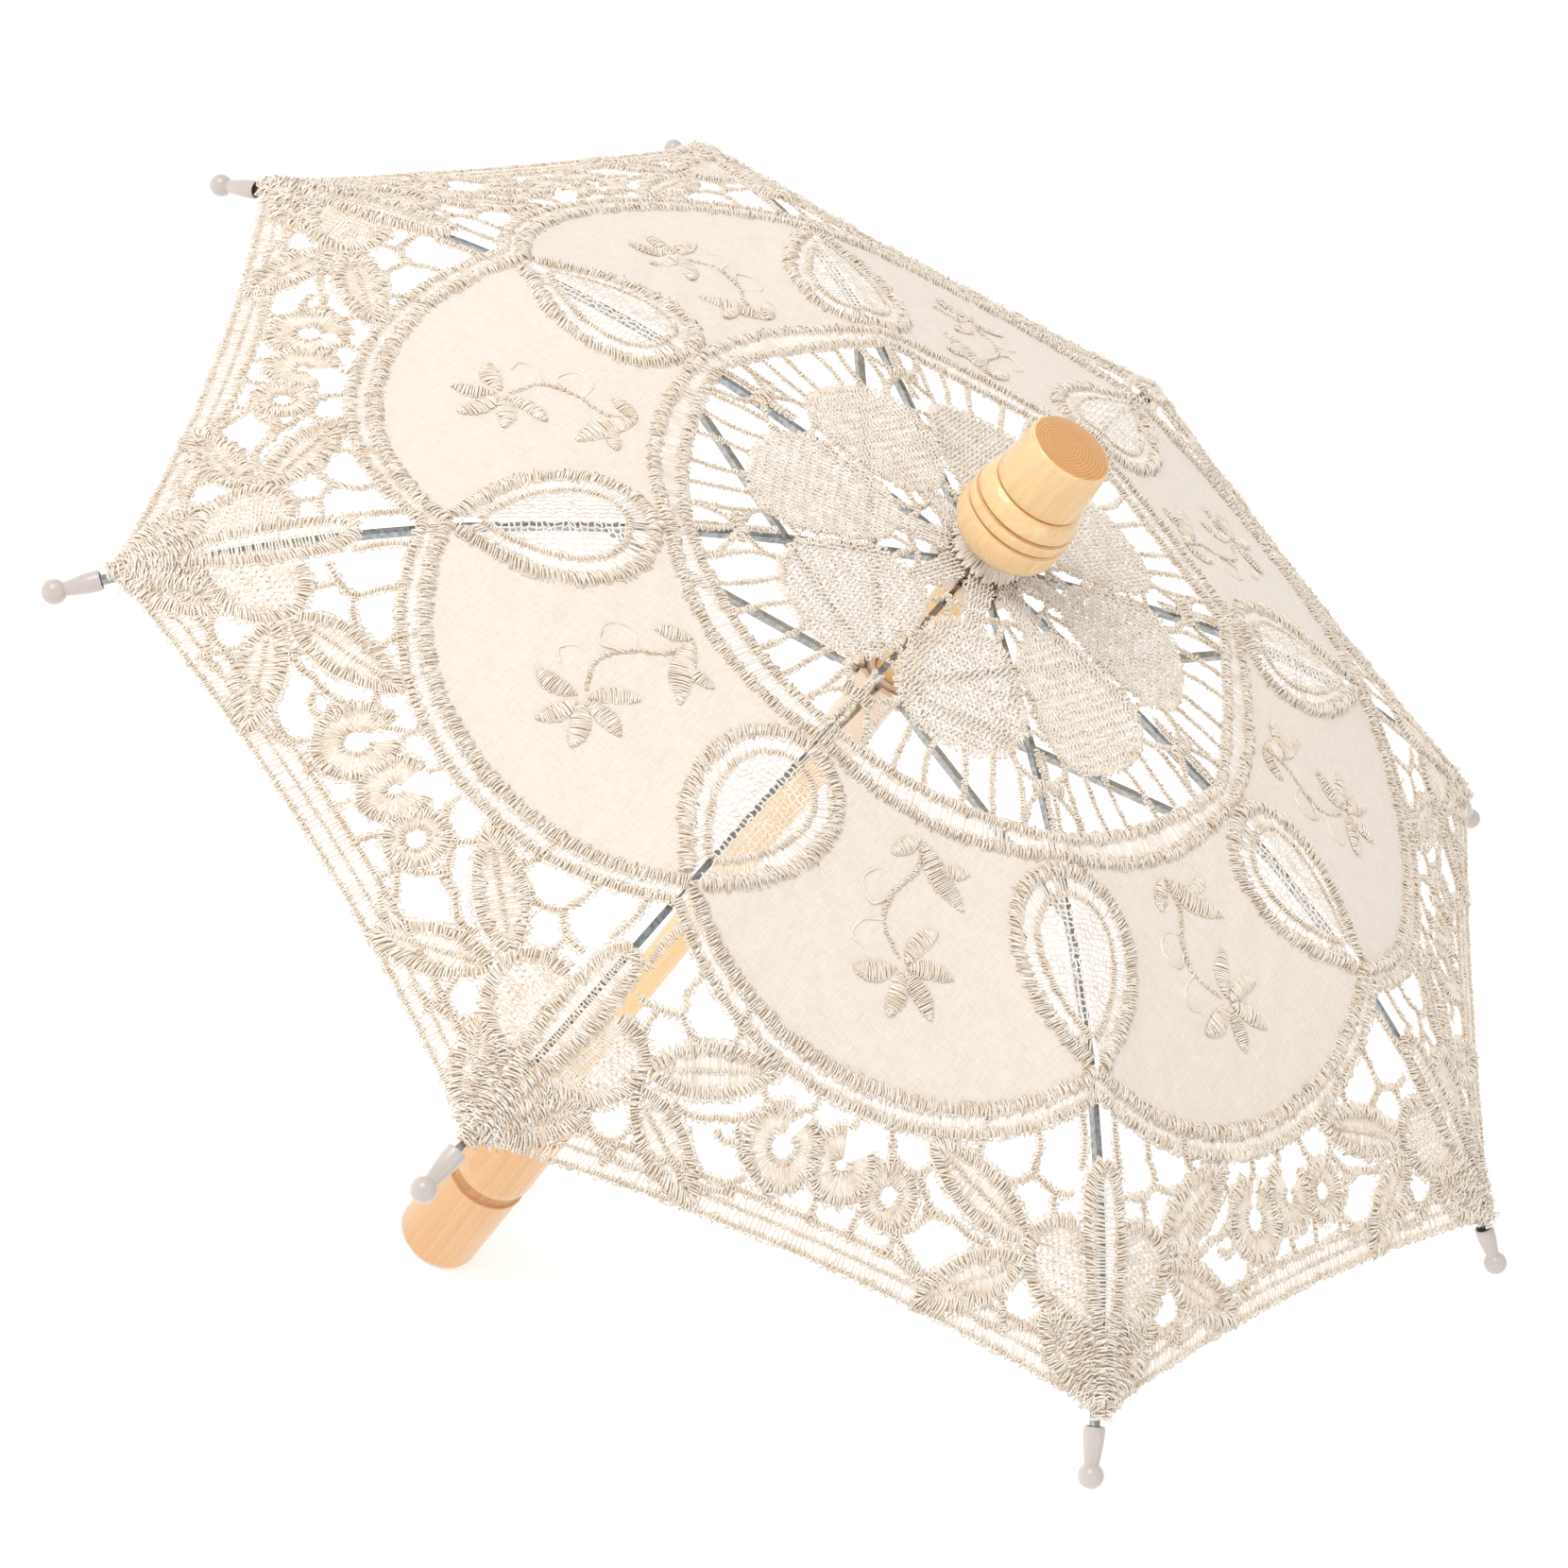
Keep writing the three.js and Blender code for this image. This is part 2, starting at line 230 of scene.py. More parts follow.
def stitches(halves, left, right, pitch=0.56, thick=0.42, arch=0.5, lift=0.0, ragged=0.1, kind=STITCH):
    """One thread worked to and fro between two paths, as close cross stitches."""
    left, right = np.asarray(left, float), np.asarray(right, float)
    count = max(2, int((length_of(left) + length_of(right)) / 2 / pitch))
    share = (np.arange(count) + 0.5) / count
    a = at_share(left, share + rng.normal(0, 0.25, count) / count)
    b = at_share(right, share + rng.normal(0, 0.25, count) / count)
    past_left = (a - b) * rng.uniform(-ragged, ragged, (count, 1))
    past_right = (b - a) * rng.uniform(-ragged, ragged, (count, 1))
    a = a + past_left
    b = b + past_right
    t = np.array([0.0, 0.3, 0.7, 1.0])[None, :, None]
    passes = a[:, None] * (1 - t) + b[:, None] * t
    passes[1::2] = passes[1::2, ::-1]
    rise = np.array([0.0, 0.9, 0.9, 0.0])[None, :] * rng.uniform(0.6, 1.25, (count, 1)) * arch
    rise = rise + lift + rng.normal(0, 0.06, (count, 4))
    wide = np.full(count * 4, thick) * rng.uniform(0.85, 1.15, count * 4)
    lay(halves, passes.reshape(-1, 2), rise.ravel(), wide, wide, kind)


def thread(halves, path, width=0.42, lift=0.0, wave=0.12, kind=PALE):
    """A plain thread, a little uneven."""
    path = spaced(path, 0.9)
    n = len(path)
    sway = rng.normal(0, wave, n) * np.sin(np.linspace(0, math.pi, n))
    path = path + sideways(path)[1] * sway[:, None]
    wide = width * rng.uniform(0.85, 1.15, n)
    lay(halves, path, lift + rng.normal(0, 0.06, n), wide, wide, kind)


def satin(
    halves, path, width=2.4, arch=0.65, lift=0.0, pitch=0.56, thick=0.42, taper=None, kind=STITCH, ragged=0.17
):
    """A cord of close stitches over a flat under-strip, coloured darker as painted shade between the stitches.
    """
    path = spaced(path, 0.9)
    n = len(path)
    shape = np.ones(n) if taper is None else taper(np.linspace(0, 1, n))
    across = sideways(path)[1]
    wide = width * shape
    # the flat strip under the stitches takes the darker kind: painted shade between the stitches
    lay(halves, path, np.full(n, lift), wide * 0.72, np.full(n, arch * 0.55), SHADED_CORE)
    reach = across * (wide[:, None] / 2)
    left, right = path + reach, path - reach
    stitches(halves, left, right, pitch=pitch, thick=thick, arch=arch, lift=lift, ragged=ragged, kind=kind)
    if width > 1.8 and taper is None:
        loose = reach * 0.8
        left, right, high = path + loose, path - loose, arch * 1.45
        stitches(halves, left, right, pitch=1.5, thick=0.36, arch=high, lift=lift + 0.1, ragged=0.4, kind=PALE)


def bride(halves, points, width=1.7):
    """A bar of the lace: a worked thread from one figure to another."""
    points = np.asarray(points, float) + rng.normal(0, 0.3, (len(points), 2))
    satin(halves, smooth(points), width * 0.78, arch=0.6, pitch=0.6, ragged=0.22)


# ---------- the lace's pattern ----------
# "Beside rib n" places are (distance along the rib, distance from it).

ALMOND = [
    (78.6, 0.0), (79.6, 5.4), (82.8, 10.4), (88, 13.3), (95, 14.2),
    (101.5, 13.2), (108, 10.2), (114, 6.0), (119.4, 1.6),
]
ALMOND_INNER = [
    (84, 0.0), (84.4, 3.4), (86.6, 6.8), (90.6, 8.9), (95.6, 9.3),
    (101, 8.3), (106.5, 5.9), (111, 3.2), (114.4, 0.4),
]
PETAL = [
    (21.4, 0), (22.0, 4.4), (25.4, 8.8), (31, 11.9), (37, 14.0),
    (43, 15.3), (48.4, 14.0), (52.4, 10.2), (54.4, 5.2), (54.8, 0),
]
STRIP = [(7.4, 0), (8.2, 3.3), (10.4, 3.7), (13, 3.1), (17, 2.5), (21.4, 2.4), (22.4, 0)]


def both_sides(draw, points, **how):
    """Draws something beside rib n and its mirror image beside rib n + 1."""
    plan = from_rib(points)
    draw(plan, **how)
    draw(flipped(plan), **how)


def ring_path(r_mid, r_rib):
    angle = np.linspace(-HALF, HALF, 60)
    r = r_mid + (r_rib - r_mid) * (angle / HALF) ** 2
    return np.stack([r * np.cos(angle), r * np.sin(angle)], axis=-1)


def scallop_radius(angle):
    return 132.3 - 11.3 * (np.abs(angle) / HALF) ** 2.3


def scallop_path(beyond=0.0):
    angle = np.linspace(-HALF, HALF, 90)
    r = scallop_radius(angle) + beyond
    return np.stack([r * np.cos(angle), r * np.sin(angle)], axis=-1)


def hem_path(inside=0.0):
    reach = CORNER_R * math.sin(HALF)
    y = np.linspace(-reach, reach, 120)
    x = HEM_MID - inside + (CORNER_R * math.cos(HALF) - HEM_MID) * (y / reach) ** 2
    path = np.stack([x, y], axis=-1)
    return path[np.abs(y) <= x * math.tan(HALF)]


def whole(half_outline):
    """A closed outline from the half of it on one side of the panel's middle line."""
    other = [(x, -y) for x, y in half_outline[-2:0:-1]]
    return smooth(half_outline + other, 0.6, closed=True)


def inside_outline(outline, x, y):
    p = np.asarray(outline)
    q = np.roll(p, -1, axis=0)
    found = np.zeros(np.shape(x), bool)
    for (x1, y1), (x2, y2) in zip(p, q):
        if y1 == y2:
            continue
        crosses = (y1 > y) != (y2 > y)
        found ^= crosses & (x < (x2 - x1) * (y - y1) / (y2 - y1) + x1)
    return found


def crochet(halves, outline, spacing=1.2, thick=0.44, depth=0.3):
    """Rows of overlapping loops that fill an outline."""
    p = np.asarray(outline)[::2]
    low, high = p.min(axis=0), p.max(axis=0)
    per_loop = 8
    for k, row in enumerate(np.arange(low[0] + 0.5, high[0] - 0.1, spacing)):
        loops = int((high[1] - low[1]) / spacing) + 1
        u = np.arange(loops * per_loop) * 2 * math.pi / per_loop
        knots = np.arange(0, u[-1] + 7, 6.3)
        way = 1 if k % 2 else -1
        drift = np.interp(u, knots, rng.normal(0, 0.26, len(knots)))
        size = np.interp(u, knots, rng.uniform(0.7, 1.3, len(knots)))
        y = low[1] + u * spacing / (2 * math.pi) + way * 0.5 * size * np.sin(u)
        x = row + drift + 0.7 * size * np.cos(u)
        rise = depth * np.sin(u) + rng.normal(0, 0.1, len(u))
        keep = inside_outline(p, x, y)
        for part in np.split(np.arange(len(u)), np.nonzero(np.diff(keep.astype(int)))[0] + 1):
            if len(part) > 3 and keep[part[0]]:
                wide = np.full(len(part), thick)
                lay(halves, np.stack([x[part], y[part]], axis=-1), rise[part], wide, wide, PALE)


def leaf_sides(base, tip, half_width, n=24):
    """The two edges of a leaf, from its base to its tip."""
    base, tip = np.asarray(base, float), np.asarray(tip, float)
    axis = tip - base
    across = np.array([-axis[1], axis[0]]) / np.linalg.norm(axis)
    t = np.linspace(0, 1, n)
    w = half_width * np.maximum(0.02, np.sin(math.pi * t**0.9)) ** 0.7
    middle = base + axis * t[:, None]
    return middle + across * w[:, None], middle - across * w[:, None]


def leaf(halves, base, tip, half_width, width=3.0):
    """A leaf of lace: a stitched border with threads across it and a vein."""
    inset = half_width - width * 0.45
    left, right = leaf_sides(base, tip, inset)
    satin(halves, np.vstack([left, right[::-1]]), width, arch=0.8, lift=0.1)
    stitches(halves, left[2:-2], right[2:-2], thick=0.46, arch=0.3, lift=-0.1, ragged=0.05)
    satin(halves, (left + right)[3:-3] / 2, 1.1, arch=0.5, lift=0.2, pitch=0.7, thick=0.4)


def shell(halves, centre, radius, start, end, hole=1.5):
    """A fan of close radiating threads with a stitched outer edge."""
    centre = np.asarray(centre, float)
    angle = np.radians(np.linspace(start, end, 40))
    ray = np.stack([np.cos(angle), np.sin(angle)], axis=-1)
    stitches(halves, centre + ray * (radius - 0.6), centre + ray * hole, pitch=0.42, thick=0.46, arch=0.3)
    satin(halves, centre + ray * (radius - 1.2), 2.8, arch=0.8, lift=0.05)
    satin(halves, centre + ray * (hole + 0.4), 1.4, arch=0.7, lift=0.05, pitch=0.6, thick=0.4)


# Bars of the outer openwork, beside a rib.
OUTER_BARS = [
    [(127, 4.4), (133, 4.0), (139.5, 4.6)],
    [(130, 13.6), (135, 13.4), (139.2, 14.6), (142.6, 11), (143.6, 6.2)],
    [(139.2, 14.6), (140.6, 18.6), (139.4, 24.2)],
    [(142.6, 11), (147.6, 11.6)],
    [(136.8, 36.2), (138.4, 39.6), (137.2, 43.4), (132.6, 45.4)],
    [(138.4, 39.6), (144.2, 36.6), (147.4, 32.2)],
    [(144.2, 36.6), (147.4, 40.6), (147.6, 44.2)],
    [(147.4, 32.2), (150.4, 28.2), (151, 24.4)],
    [(159.2, 21.6), (163.6, 21.4), (167.6, 22)],
    [(164.2, 12.6), (165.6, 18.4), (165.2, 23.4), (163.4, 27)],
    [(157.8, 37.6), (155.4, 41.4), (152.8, 44.6)],
    [(128.6, 24.6), (133, 25.4), (136.6, 27.2)],
    [(169.6, 9.6), (172, 12.6)],
]
OUTER_LEAVES = [
    ((150.4, 17.6), (133.2, 36.2), 5.4),
    ((154.8, 18.2), (159.6, 39.4), 5.2),
    ((177.4, 3.0), (163.4, 13.2), 4.2),
]
FLANK = [(148.8, 6.4), (148.2, 11.6), (150.6, 16.2), (156, 16.6), (161, 14), (164.2, 9.2), (166.6, 5)]
RIB_LEAF = [(138.2, 0.2), (141, 3.0), (147, 4.0), (154, 3.9), (160.5, 3.3), (166, 2.2), (170, 1.4)]


def draw_centre(halves):
    petal = whole(PETAL)
    crochet(halves, petal, spacing=1.18, thick=0.5, depth=0.45)
    inner, outer = offset(petal, 0.7), offset(petal, -1.0)
    stitches(halves, inner, outer, pitch=0.7, thick=0.46, arch=0.45, lift=0.1, ragged=0.3)
    crochet(halves, whole(STRIP), spacing=0.95, thick=0.46, depth=0.7)

    def pair(points, width=1.5):
        both_sides(lambda path: bride(halves, path, width), points)

    # bars over the rib, where strips and petals meet
    pair([(17.6, 0), (17.2, 2.6), (18.4, 5.0)])
    pair([(17.6, 0), (20.6, 1.4), (24.6, 3.6)])
    for r in (36, 41, 46):
        pair([(r, 0), (r + 0.5, 1.4), (r + 0.8, 3.0)], 1.5)
    # the knot near the ring, and its arms
    pair([(59.4, 0.6), (57.4, 3.2), (54.6, 5.6), (51.6, 7.2)], 1.7)
    pair([(60, 0.8), (61.6, 3.4), (65.4, 6.2), (70.4, 7.4)], 1.7)
    pair([(60, 0.5), (65, 0.7), (70.6, 0.6)], 1.3)
    pair([(59, 0.4), (55, 0.5), (51, 0.6)], 1.2)
    knot = smooth([(59.4, 0), (59.5, 2), (59.6, 3.8)], 0.4)
    both_sides(lambda path: satin(halves, path, 3.2, arch=1.0, lift=0.2), knot)
    for side in (1, -1):
        bride(halves, [(54, 3.4 * side), (61, 4.6 * side), (68.2, 4.8 * side)], 1.6)
        bride(halves, [(52.6, 9.4 * side), (60, 10.6 * side), (67.6, 12.2 * side)], 1.6)
        bride(halves, [(49.6, 13.2 * side), (56, 16.6 * side), (66.6, 19.2 * side)], 1.6)


def draw_ring(halves):
    inner, outer = ring_path(69.0, 71.4), ring_path(75.4, 75.2)
    satin(halves, inner, 2.7, arch=0.8, lift=0.1)
    satin(halves, outer, 2.9, arch=0.9, lift=0.15)
    stitches(halves, offset(inner, 1.0), offset(outer, -1.0), pitch=0.6, thick=0.4, arch=0.2, kind=PALE)


def draw_almond(halves):
    outer = smooth(ALMOND, 0.6)
    inner = smooth(ALMOND_INNER, 0.6)
    both_sides(lambda path: satin(halves, path, 3.3, arch=1.0, lift=0.15, pitch=0.54, thick=0.44), outer)
    both_sides(lambda path: satin(halves, path, 1.5, arch=0.6, lift=0.05, pitch=0.62), inner)
    for mirror in (False, True):
        borders = [flipped(from_rib(p)) if mirror else from_rib(p) for p in (outer, inner)]
        stitches(halves, *borders, pitch=0.7, thick=0.38, arch=0.1, lift=-0.1, ragged=0.05, kind=PALE)
    for r in np.arange(84.8, 114, 1.35):
        reach = np.interp(r, inner[:, 0], inner[:, 1])
        wave = 0.25 * np.sin(np.linspace(0, 9, 12) + r)
        row = np.stack([r + wave, np.linspace(0, reach, 12)], axis=-1)
        both_sides(lambda path: thread(halves, path, 0.42, wave=0.2), row)
    for y in np.arange(0.7, 9.2, 1.3):
        held = inner[:, 1] > y
        if held.sum() < 4:
            continue
        along = np.linspace(inner[held, 0].min(), inner[held, 0].max(), 24)
        column = np.stack([along, y + 0.35 * np.sin(along * 2.3 + y)], axis=-1)
        both_sides(lambda path: thread(halves, path, 0.42, lift=0.1, wave=0.25), column)


def draw_scallop(halves):
    satin(halves, scallop_path(), 3.0, arch=0.95, lift=0.15, pitch=0.5, thick=0.4)
    satin(halves, scallop_path(4.5), 2.5, arch=0.8)
    stitches(halves, scallop_path(1.0), scallop_path(4.0), pitch=0.6, thick=0.4, arch=0.15, kind=PALE)


def draw_outer(halves):
    for points in OUTER_BARS:
        both_sides(lambda path: bride(halves, path, 2.1), points)
    for base, tip, half_width in OUTER_LEAVES:
        for mirror in (False, True):
            ends = from_rib([base, tip])
            ends = flipped(ends) if mirror else ends
            leaf(halves, ends[0], ends[1], half_width)
    # the rounded leaf beside the one on the rib
    flank = smooth(FLANK, 0.6)
    both_sides(lambda path: satin(halves, path, 3.2, arch=0.95, lift=0.1), flank)
    near = np.stack([np.linspace(149.5, 166, 20), np.linspace(5.2, 3.2, 20)], axis=-1)
    for mirror in (False, True):
        borders = [flipped(from_rib(p)) if mirror else from_rib(p) for p in (near, flank[2:-2])]
        stitches(halves, *borders, pitch=0.7, arch=0.25, ragged=0.05)
        crochet(halves, np.vstack([borders[0], borders[1][::-1]]), spacing=1.5, thick=0.42)
    # half of the leaf on the rib
    edge = smooth(RIB_LEAF, 0.6)
    both_sides(lambda path: satin(halves, path, 2.9, arch=0.95, lift=0.1), edge)
    along = np.stack([edge[:, 0], np.zeros(len(edge))], axis=-1)
    for mirror in (False, True):
        borders = [flipped(from_rib(p)) if mirror else from_rib(p) for p in (along, edge)]
        stitches(halves, *borders, pitch=0.6, arch=0.3, ragged=0.02)
    # stitched gathers at the corner
    for start, middle, end in ((5.4, 3.4, 1.4), (7.8, 6.0, 3.0), (2.4, 1.4, 0.6)):
        gather = smooth([(165, start), (172, middle), (179.6, end)], 0.6)
        both_sides(lambda path: satin(halves, path, 2.8, arch=1.0, lift=0.2, thick=0.36, ragged=0.38), gather)
    across_tip = smooth([(179.4, 0), (179.2, 1.6), (178.6, 3.4)], 0.5)
    both_sides(lambda path: satin(halves, path, 2.6, arch=1.2, lift=0.3), across_tip)
    along_tip = smooth([(170, 0.6), (176, 0.9), (182, 0.8)], 0.5)
    both_sides(lambda path: satin(halves, path, 2.4, arch=1.2, lift=0.4), along_tip)


# Bars about the middle figures of the outer openwork, in plan.
MIDDLE_BARS = [
    [(137.4, -7.6), (139.4, -8.2), (141.6, -8.4)],
    [(137.6, 1.2), (139.2, 1.0), (140.4, 0.2)],
    [(137.2, 8.4), (140.2, 9.2), (143.2, 10.6)],
    [(155, -10.6), (158.2, -11.2)],
    [(153.6, -1.6), (157.6, -1.2)],
    [(152.6, 7.4), (157.6, 6.6)],
    [(153.6, 15.4), (156.2, 19.4), (158.6, 23)],
    [(153.4, 16), (158.4, 15.4)],
    [(149.4, -17.6), (151.4, -21.6), (150.4, -25.6)],
    [(155.2, -16.4), (158.4, -19)],
    [(148.2, 19.2), (148.6, 23.4), (147.6, 26.6)],
]


def draw_middle(halves):
    shell(halves, (148.2, -11.6), 8.4, -178, 150, 2.5)
    shell(halves, (147.0, 1.0), 7.4, -170, 130, 1.5)
    shell(halves, (148.6, 12.2), 6.4, 0, 358, 2.1)
    for points in MIDDLE_BARS:
        bride(halves, points, 2.0)


def draw_hem(halves):
    outer, middle, inner = hem_path(0.9), hem_path(3.7), hem_path(6.5)
    satin(halves, outer, 1.2, arch=0.6, pitch=0.6, thick=0.38, ragged=0.3)
    satin(halves, middle, 0.8, arch=0.45, pitch=0.8, thick=0.34, kind=PALE)
    satin(halves, inner, 1.5, pitch=0.6, thick=0.38, ragged=0.28)
    stitches(halves, outer, middle, pitch=0.95, thick=0.38, arch=0.15, ragged=0.2)
    stitches(halves, middle, inner, pitch=1.05, thick=0.38, arch=0.15, ragged=0.2)


def petal_shape(t):
    return np.maximum(0.12, np.sin(math.pi * t) ** 0.65)


# the flower's middle; its petals' bearings and lengths; the leaves' ends and widths
FLOWER = (108.0, 0.6)
FLOWER_PETALS = ((0, 10.2), (50, 11.6), (101, 11.2), (152, 11.4), (-66, 10.6))
SPRIG_LEAVES = (
    ((80.4, -1.6), (91.2, 10.2), 5.2),
    ((80.2, -2.4), (86.2, -7.4), 3.4),
    ((84.6, 3.4), (82.8, 9.6), 3.0),
)
STEM = [(80, -2), (87, -1.4), (94, -5.2), (101, -5.6), (106.6, -0.4)]
CURLS = (
    [(92, -4.6), (90.6, -9.4), (94.4, -12.4), (98.2, -9.2), (96, -6.4)],
    [(100.4, -5.8), (102.6, -10.2), (106.2, -11.4), (107.6, -8.4)],
)


def draw_embroidery(halves):
    """A flower of satin-stitch petals, its stem and leaves, raised on the cotton."""
    flower = np.array(FLOWER)
    for turned_by, length in FLOWER_PETALS:
        d = np.array([math.cos(math.radians(turned_by)), math.sin(math.radians(turned_by))])
        bend = np.array([-d[1], d[0]]) * 0.8
        path = smooth([flower + d * 1.2, flower + d * length * 0.55 + bend, flower + d * length], 0.5)
        satin(halves, path, 4.0, arch=0.5, lift=0.35, pitch=0.42, thick=0.4, taper=petal_shape, ragged=0.06)
    for base, tip, wide in SPRIG_LEAVES:
        base, tip = np.array(base), np.array(tip)
        middle = (base + tip) / 2 + np.array([0.6, -0.8])
        vein = smooth([base, middle, tip], 0.5)
        satin(halves, vein, wide, arch=0.5, lift=0.35, pitch=0.42, thick=0.4, taper=petal_shape, ragged=0.06)
    satin(halves, smooth(STEM, 0.6), 0.8, arch=0.4, lift=0.3, pitch=0.8, thick=0.34)
    for curl in CURLS:
        thread(halves, smooth(curl, 0.6), 0.5, lift=0.3, wave=0.05, kind=STITCH)


# ---------- meshes ----------


def mesh_object(name, points, faces, materials, kinds=None, smooth_shading=True, sharp_angle=0):
    """A mesh in metres from points in millimetres; a repeated last corner makes a triangle."""
    mesh = bpy.data.meshes.new(name)
    faces = np.asarray(faces)
    corner_count = np.where(faces[:, 2] == faces[:, 3], 3, 4)
    loops = faces.ravel()[np.repeat(corner_count, 4) > np.tile(np.arange(4), len(faces))]
    mesh.vertices.add(len(points))
    mesh.vertices.foreach_set("co", (np.asarray(points) * MM).astype(np.float32).ravel())
    mesh.loops.add(len(loops))
    mesh.loops.foreach_set("vertex_index", loops.astype(np.int32))
    mesh.polygons.add(len(faces))
    starts = np.append(0, np.cumsum(corner_count)[:-1])
    mesh.polygons.foreach_set("loop_start", starts.astype(np.int32))
    for material in materials:
        mesh.materials.append(material)
    if kinds is not None:
        mesh.polygons.foreach_set("material_index", np.asarray(kinds, np.int32))
    mesh.polygons.foreach_set("use_smooth", np.full(len(faces), smooth_shading))
    mesh.update(calc_edges=True)
    mesh.validate()
    if sharp_angle:
        mesh.set_sharp_from_angle(angle=math.radians(sharp_angle))
    obj = bpy.data.objects.new(name, mesh)
    bpy.context.scene.collection.objects.link(obj)
    return obj


def spun(points, angle):
    """Points in space turned about the shaft."""
    c, s = math.cos(angle), math.sin(angle)
    x, y = points[:, 0] * c - points[:, 1] * s, points[:, 0] * s + points[:, 1] * c
    return np.stack([x, y, points[:, 2]], axis=-1)


# Across a panel's fold, square to the line that the half panel turns about.
FOLD_INWARD, FOLD_DOWN = -0.389, -0.714


def fold_with_panel(obj, rib, side):
    """Bakes the placing of a piece of the canopy, by its rib and side, into its mesh; the way across the fold
    is worked out but not used.
    """
    sign = 1 if side == "left" else -1
    azimuth = (rib - 1) * SECTOR
    way = Vector((FOLD_INWARD, sign, FOLD_DOWN)).normalized()
    way.rotate(Matrix.Rotation(azimuth, 3, "Z").to_euler())
    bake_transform(obj)


def which_rib(panel, half):
    """The rib and side that a half of a panel hangs on: panel n lies between ribs n and n + 1."""
    return (panel, "left") if half == 0 else (panel % RIBS + 1, "right")


CLOTH_INNER = 75.8
CLOTH_THICKNESS = 0.3


def cotton_half(half):
    """Half of a panel's cotton cloth, as a thin closed sheet: plan points with lifts, and faces."""
    border = from_rib(smooth(ALMOND, 0.5))
    border_r = np.linalg.norm(border, axis=1)
    border_angle = np.arctan2(border[:, 1], border[:, 0])
    order = np.argsort(border_r)
    rows, columns = 56, 34
    u, v = np.meshgrid(np.linspace(0, 1, rows), np.linspace(0, 1, columns), indexing="ij")
    r = CLOTH_INNER + u * 50
    angle = np.zeros_like(r)
    by_rib = -HALF + 0.004
    for _ in range(12):
        from_angle = np.interp(r, border_r[order], border_angle[order], left=by_rib, right=by_rib)
        angle = from_angle * (1 - v)
        r = CLOTH_INNER + u * (scallop_radius(angle) - CLOTH_INNER)
    x, y = r * np.cos(angle), r * np.sin(angle)
    ripple = 0.22 * np.sin(x * 0.42 + 1.3 * np.sin(y * 0.21)) * np.sin(y * 0.33 + 0.8)
    pucker = 0.28 * np.sin(angle * 95 + 2 * np.sin(angle * 31)) * np.clip((u - 0.72) / 0.28, 0, 1)
    lift = (ripple + pucker) * np.sin(math.pi * np.clip(u, 0, 1)) ** 0.5
    if half == 1:
        y = -y
    top = np.stack([x.ravel(), y.ravel(), lift.ravel() + CLOTH_THICKNESS / 2], axis=-1)
    bottom = top - (0, 0, CLOTH_THICKNESS)
    index = np.arange(rows * columns).reshape(rows, columns)
    corners = (index[:-1, :-1], index[1:, :-1], index[1:, 1:], index[:-1, 1:])
    upper = np.stack([corner.ravel() for corner in corners], axis=-1)
    rim = np.concatenate([index[:, 0], index[-1, 1:], index[-2::-1, -1], index[0, -2:0:-1]])
    after = np.roll(rim, -1)
    shift = rows * columns
    lower = upper[:, ::-1] + shift
    walls = np.stack([after, rim, rim + shift, after + shift], axis=-1)
    faces = np.vstack([upper, lower, walls])
    if half == 1:
        faces = faces[:, ::-1]
    return np.vstack([top, bottom]), faces


# in this order, because each takes its unevenness from the same generator
PATTERN = (
    draw_centre, draw_ring, draw_almond, draw_scallop, draw_outer, draw_middle, draw_hem, draw_embroidery,
)


def make_canopy(lace_materials, cotton):
    for panel in range(1, RIBS + 1):
        halves = [HalfPanel(), HalfPanel()]
        for draw in PATTERN:
            draw(halves)
        azimuth = (panel - 1) * SECTOR + HALF
        for half in (0, 1):
            rib, side = which_rib(panel, half)
            plan = np.vstack(halves[half].points)
            points = spun(on_surface(plan[:, 0], plan[:, 1], plan[:, 2]), azimuth)
            faces = np.vstack(halves[half].faces)
            kinds = np.concatenate(halves[half].kinds)
            lace = mesh_object(f"lace_{rib}_{side}", points, faces, lace_materials, kinds)
            plan, faces = cotton_half(half)
            points = spun(on_surface(plan[:, 0], plan[:, 1], plan[:, 2]), azimuth)
            cloth = mesh_object(f"cotton_{rib}_{side}", points, faces, [cotton], sharp_angle=50)
            for piece in (lace, cloth):
                fold_with_panel(piece, rib, side)
            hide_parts(f"canopy_{rib}_{side}")


# ---------- turned pieces ----------


def turned(name, profile, material, segments=96, groove_shade_material=None, shaded_grooves=()):
    """A turned piece round the shaft; profile is (radius, height) from the bottom up."""
    angle = np.arange(segments) * 2 * math.pi / segments
    points, rings = [], []
    for r, z in profile:
        if r < 1e-6:
            rings.append([len(points)] * segments)
            points.append((0, 0, z))
        else:
            rings.append(list(range(len(points), len(points) + segments)))
            points += [(r * math.cos(a), r * math.sin(a), z) for a in angle]
    faces, kinds = [], []
    for k, (low, high) in enumerate(zip(rings[:-1], rings[1:])):
        middle = (profile[k][1] + profile[k + 1][1]) / 2
        # faces within a groove take the groove material, whose darker colour is painted shade in the recess
        dark = any(a <= middle <= b for a, b in shaded_grooves)
        for i in range(segments):
            j = (i + 1) % segments
            corners = [low[i], low[j], high[j], high[i]]
            unique = list(dict.fromkeys(corners))
            if len(unique) == 3:
                unique.append(unique[-1])
            if len(unique) < 3:
                continue
            faces.append(unique)
            kinds.append(int(dark))
    materials = [material] + ([groove_shade_material] if groove_shade_material else [])
    return mesh_object(name, np.array(points, float), np.array(faces), materials, kinds, sharp_angle=40)


# ---------- materials ----------


def new_material(name):
    material = bpy.data.materials.new(name)
    material.use_nodes = True
    nodes = material.node_tree.nodes
    return material, nodes, material.node_tree.links, nodes["Principled BSDF"]


def add_node(nodes, kind, **values):
    node = nodes.new(kind)
    for key, value in values.items():
        if key in node.inputs:
            node.inputs[key].default_value = value
        else:
            setattr(node, key, value)
    return node


